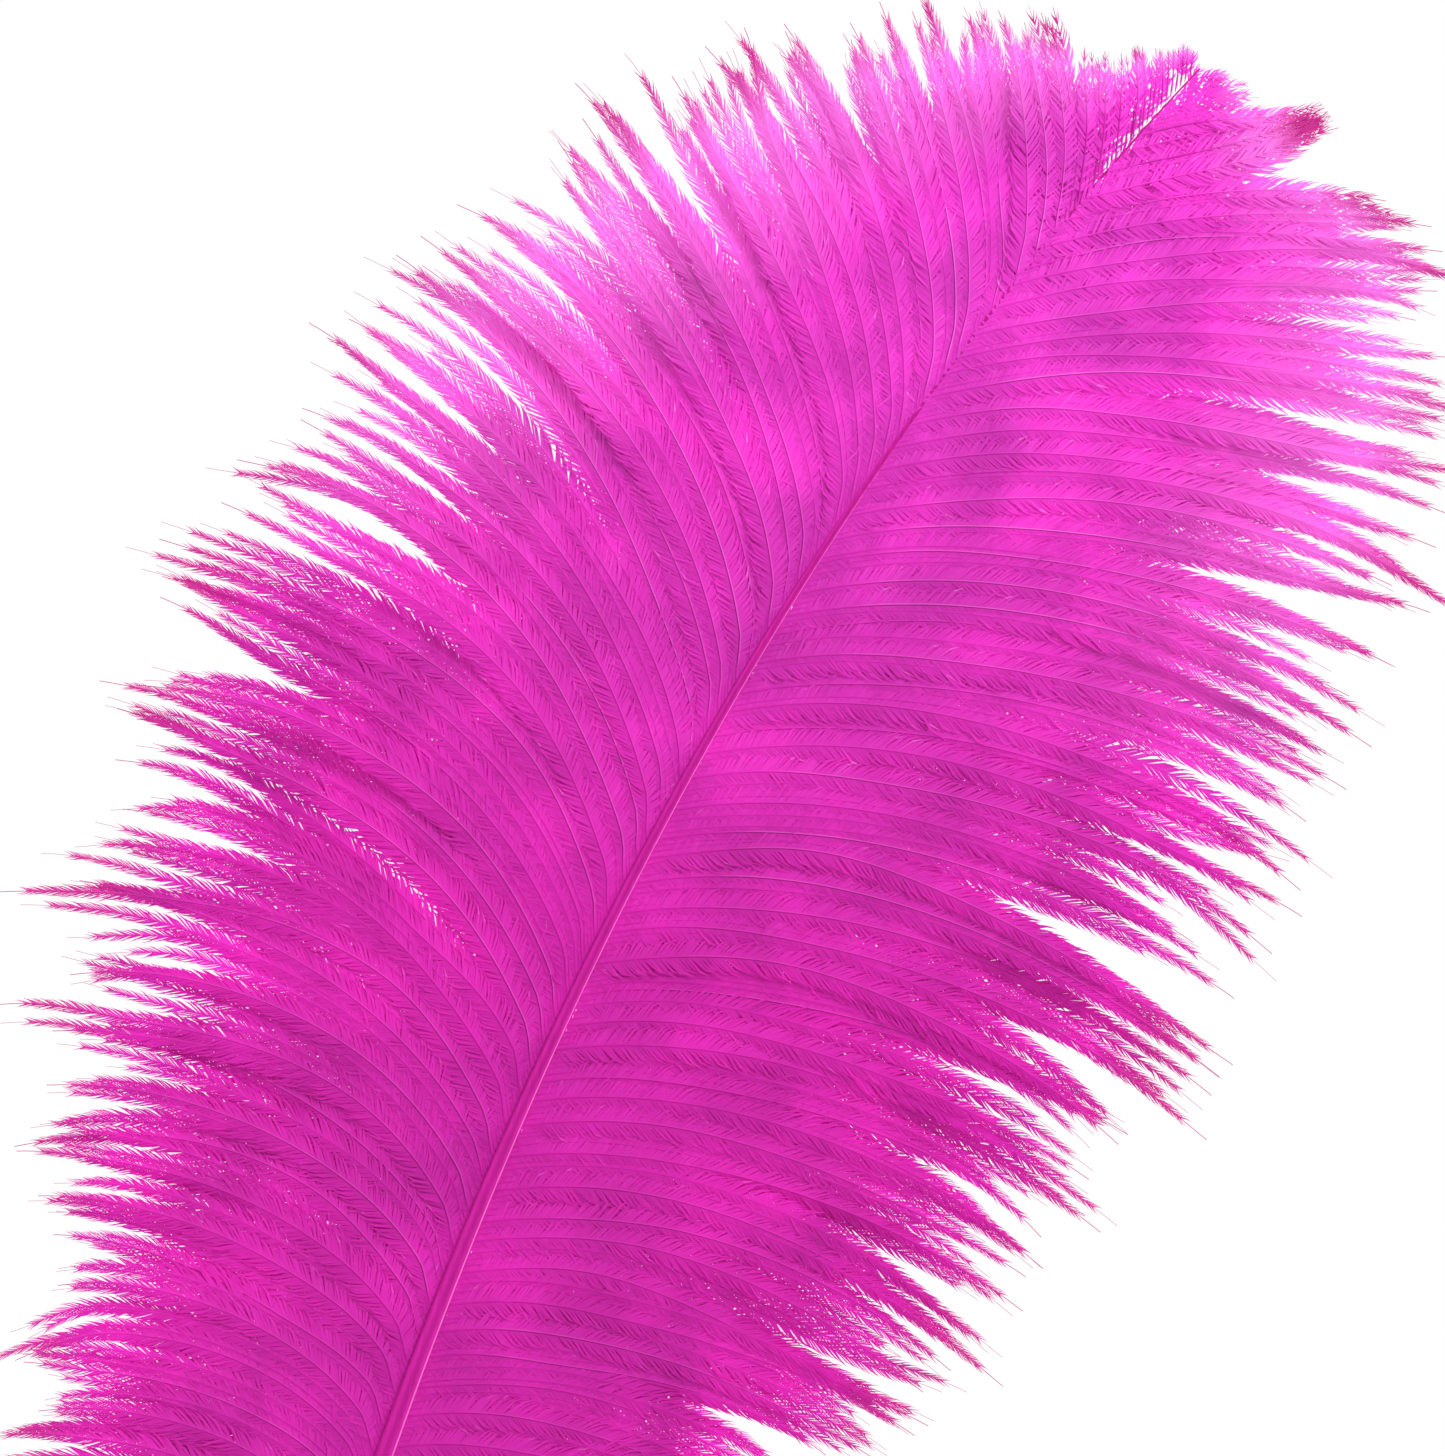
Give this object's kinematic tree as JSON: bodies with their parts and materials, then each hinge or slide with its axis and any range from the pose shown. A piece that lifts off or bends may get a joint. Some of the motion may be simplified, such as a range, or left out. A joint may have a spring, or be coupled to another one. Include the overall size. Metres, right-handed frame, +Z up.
{
  "type": "dyed ostrich plume",
  "caption": "Long dyed ostrich plume with a hollow quill, a curved tapering shaft and wide soft drooping vanes of loose barbs.",
  "frame": {"origin": "centre of the cut end of the quill", "axes": "+Z up along the quill, the grooved face of the plume towards -Y, the shaft bending towards +X and its tip nodding towards -Y"},
  "size_m": [0.2157, 0.0499, 0.4483],
  "materials": {
    "quill_horn": "translucent dyed horn, smooth",
    "pulp_horn": "thin dry horn",
    "rachis_horn": "dyed horn, satin, paler along its two edges",
    "pith": "matte dry foam",
    "barbs": "soft dyed barbs with a silky sheen",
    "down": "fine dyed down"
  },
  "bodies": {
    "quill": {"calamus": "quill_horn", "pulp_cap_lower": "pulp_horn", "pulp_cap_upper": "pulp_horn", "rachis_1": "rachis_horn", "pith_1": "pith", "left_down_tuft": "down", "right_down_tuft": "down"},
    "shaft_2": {"rachis_2": "rachis_horn", "pith_2": "pith"},
    "shaft_3": {"rachis_3": "rachis_horn", "pith_3": "pith"},
    "shaft_4": {"rachis_4": "rachis_horn", "pith_4": "pith"},
    "shaft_5": {"rachis_5": "rachis_horn", "tip_tuft": "barbs"},
    "vane_left_1": {"left_barbs_01": "barbs", "left_barbs_02": "barbs", "left_barbs_03": "barbs", "left_barbs_04": "barbs"},
    "vane_left_2": {"left_barbs_05": "barbs", "left_barbs_06": "barbs", "left_barbs_07": "barbs", "left_barbs_08": "barbs"},
    "vane_left_3": {"left_barbs_09": "barbs", "left_barbs_10": "barbs", "left_barbs_11": "barbs", "left_barbs_12": "barbs"},
    "vane_left_4": {"left_barbs_13": "barbs", "left_barbs_14": "barbs", "left_barbs_15": "barbs", "left_barbs_16": "barbs", "left_barbs_17": "barbs"},
    "vane_left_5": {"left_barbs_18": "barbs", "left_barbs_19": "barbs", "left_barbs_20": "barbs", "left_barbs_21": "barbs", "left_barbs_22": "barbs"},
    "vane_right_1": {"right_barbs_01": "barbs", "right_barbs_02": "barbs", "right_barbs_03": "barbs", "right_barbs_04": "barbs"},
    "vane_right_2": {"right_barbs_05": "barbs", "right_barbs_06": "barbs", "right_barbs_07": "barbs", "right_barbs_08": "barbs"},
    "vane_right_3": {"right_barbs_09": "barbs", "right_barbs_10": "barbs", "right_barbs_11": "barbs", "right_barbs_12": "barbs"},
    "vane_right_4": {"right_barbs_13": "barbs", "right_barbs_14": "barbs", "right_barbs_15": "barbs", "right_barbs_16": "barbs", "right_barbs_17": "barbs"},
    "vane_right_5": {"right_barbs_18": "barbs", "right_barbs_19": "barbs", "right_barbs_20": "barbs", "right_barbs_21": "barbs", "right_barbs_22": "barbs"}
  },
  "joints": [
    {"name": "shaft_bend_1", "type": "hinge", "parent": "quill", "child": "shaft_2", "pos_m": [0.0042, -0.00197, 0.13988], "axis": [0.997, 0, -0.078], "range_deg": [-5, 5], "stiffness_Nm_per_rad": 0.12},
    {"name": "shaft_bend_2", "type": "hinge", "parent": "shaft_2", "child": "shaft_3", "pos_m": [0.01389, -0.00623, 0.22116], "axis": [0.9867, 0, -0.1625], "range_deg": [-6, 6], "stiffness_Nm_per_rad": 0.08},
    {"name": "shaft_bend_3", "type": "hinge", "parent": "shaft_3", "child": "shaft_4", "pos_m": [0.03077, -0.01345, 0.29899], "axis": [0.9646, 0, -0.2639], "range_deg": [-7.5, 7.5], "stiffness_Nm_per_rad": 0.05},
    {"name": "shaft_bend_4", "type": "hinge", "parent": "shaft_4", "child": "shaft_5", "pos_m": [0.05543, -0.02386, 0.37219], "axis": [0.9265, 0, -0.3762], "range_deg": [-9, 9], "stiffness_Nm_per_rad": 0.03},
    {"name": "vane_fold_left_1", "type": "hinge", "parent": "quill", "child": "vane_left_1", "pos_m": [0.00228, -0.00108, 0.09744], "axis": [0.0451, -0.0209, 0.9988], "range_deg": [-25, 25], "stiffness_Nm_per_rad": 0.004},
    {"name": "vane_fold_left_2", "type": "hinge", "parent": "shaft_2", "child": "vane_left_2", "pos_m": [0.00905, -0.0041, 0.18052], "axis": [0.1182, -0.052, 0.9916], "range_deg": [-25, 25], "stiffness_Nm_per_rad": 0.004},
    {"name": "vane_fold_left_3", "type": "hinge", "parent": "shaft_3", "child": "vane_left_3", "pos_m": [0.02233, -0.00984, 0.26007], "axis": [0.211, -0.0902, 0.9733], "range_deg": [-25, 25], "stiffness_Nm_per_rad": 0.004},
    {"name": "vane_fold_left_4", "type": "hinge", "parent": "shaft_4", "child": "vane_left_4", "pos_m": [0.0431, -0.01865, 0.33559], "axis": [0.3164, -0.1336, 0.9392], "range_deg": [-25, 25], "stiffness_Nm_per_rad": 0.004},
    {"name": "vane_fold_left_5", "type": "hinge", "parent": "shaft_5", "child": "vane_left_5", "pos_m": [0.06952, -0.02981, 0.40197], "axis": [0.4208, -0.1778, 0.8895], "range_deg": [-25, 25], "stiffness_Nm_per_rad": 0.004},
    {"name": "vane_fold_right_1", "type": "hinge", "parent": "quill", "child": "vane_right_1", "pos_m": [0.00228, -0.00108, 0.09744], "axis": [-0.0451, 0.0209, -0.9988], "range_deg": [-25, 25], "stiffness_Nm_per_rad": 0.004},
    {"name": "vane_fold_right_2", "type": "hinge", "parent": "shaft_2", "child": "vane_right_2", "pos_m": [0.00905, -0.0041, 0.18052], "axis": [-0.1182, 0.052, -0.9916], "range_deg": [-25, 25], "stiffness_Nm_per_rad": 0.004},
    {"name": "vane_fold_right_3", "type": "hinge", "parent": "shaft_3", "child": "vane_right_3", "pos_m": [0.02233, -0.00984, 0.26007], "axis": [-0.211, 0.0902, -0.9733], "range_deg": [-25, 25], "stiffness_Nm_per_rad": 0.004},
    {"name": "vane_fold_right_4", "type": "hinge", "parent": "shaft_4", "child": "vane_right_4", "pos_m": [0.0431, -0.01865, 0.33559], "axis": [-0.3164, 0.1336, -0.9392], "range_deg": [-25, 25], "stiffness_Nm_per_rad": 0.004},
    {"name": "vane_fold_right_5", "type": "hinge", "parent": "shaft_5", "child": "vane_right_5", "pos_m": [0.06952, -0.02981, 0.40197], "axis": [-0.4208, 0.1778, -0.8895], "range_deg": [-25, 25], "stiffness_Nm_per_rad": 0.004}
  ],
  "couplings": [
    {"joint": "shaft_bend_2", "follows": "shaft_bend_1", "ratio": 1.2},
    {"joint": "shaft_bend_3", "follows": "shaft_bend_1", "ratio": 1.5},
    {"joint": "shaft_bend_4", "follows": "shaft_bend_1", "ratio": 1.8},
    {"joint": "vane_fold_left_2", "follows": "vane_fold_left_1", "ratio": 1},
    {"joint": "vane_fold_left_3", "follows": "vane_fold_left_1", "ratio": 1},
    {"joint": "vane_fold_left_4", "follows": "vane_fold_left_1", "ratio": 1},
    {"joint": "vane_fold_left_5", "follows": "vane_fold_left_1", "ratio": 1},
    {"joint": "vane_fold_right_2", "follows": "vane_fold_right_1", "ratio": 1},
    {"joint": "vane_fold_right_3", "follows": "vane_fold_right_1", "ratio": 1},
    {"joint": "vane_fold_right_4", "follows": "vane_fold_right_1", "ratio": 1},
    {"joint": "vane_fold_right_5", "follows": "vane_fold_right_1", "ratio": 1}
  ]
}
